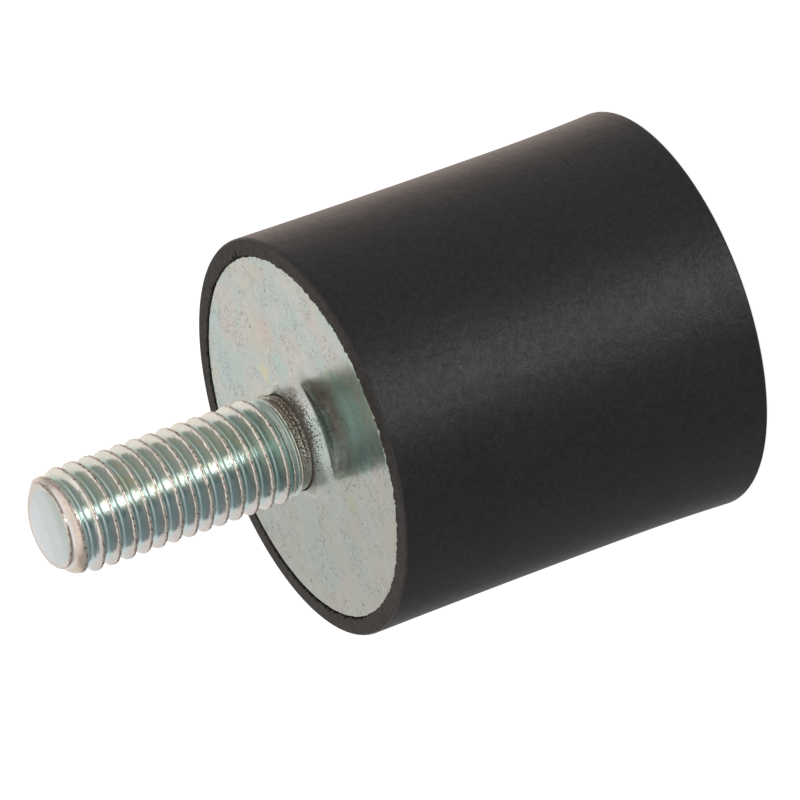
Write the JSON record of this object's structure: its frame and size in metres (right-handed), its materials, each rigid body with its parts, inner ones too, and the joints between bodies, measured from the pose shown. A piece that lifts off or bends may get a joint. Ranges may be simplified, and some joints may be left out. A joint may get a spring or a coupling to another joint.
{
  "type": "bobbin vibration mount",
  "caption": "Cylindrical rubber vibration mount bonded between steel end plates, with a threaded stud at one end and a tapped bush at the other.",
  "frame": {"origin": "centre of the bush end's flat face, which the mount stands on", "axes": "+Z along the mount's axis, from the bush end towards the stud; X and Y are any two directions across it"},
  "size_m": [0.03, 0.03, 0.0508],
  "materials": {
    "rubber": "moulded black natural rubber, semi-matt",
    "zinc_plated_steel": "clear passivated zinc plating with a faint blue and yellow tint"
  },
  "bodies": {
    "root": {"rubber_body": "rubber", "stud_plate": "zinc_plated_steel", "threaded_stud": "zinc_plated_steel", "bush_plate": "zinc_plated_steel", "threaded_bush": "zinc_plated_steel"}
  },
  "joints": []
}
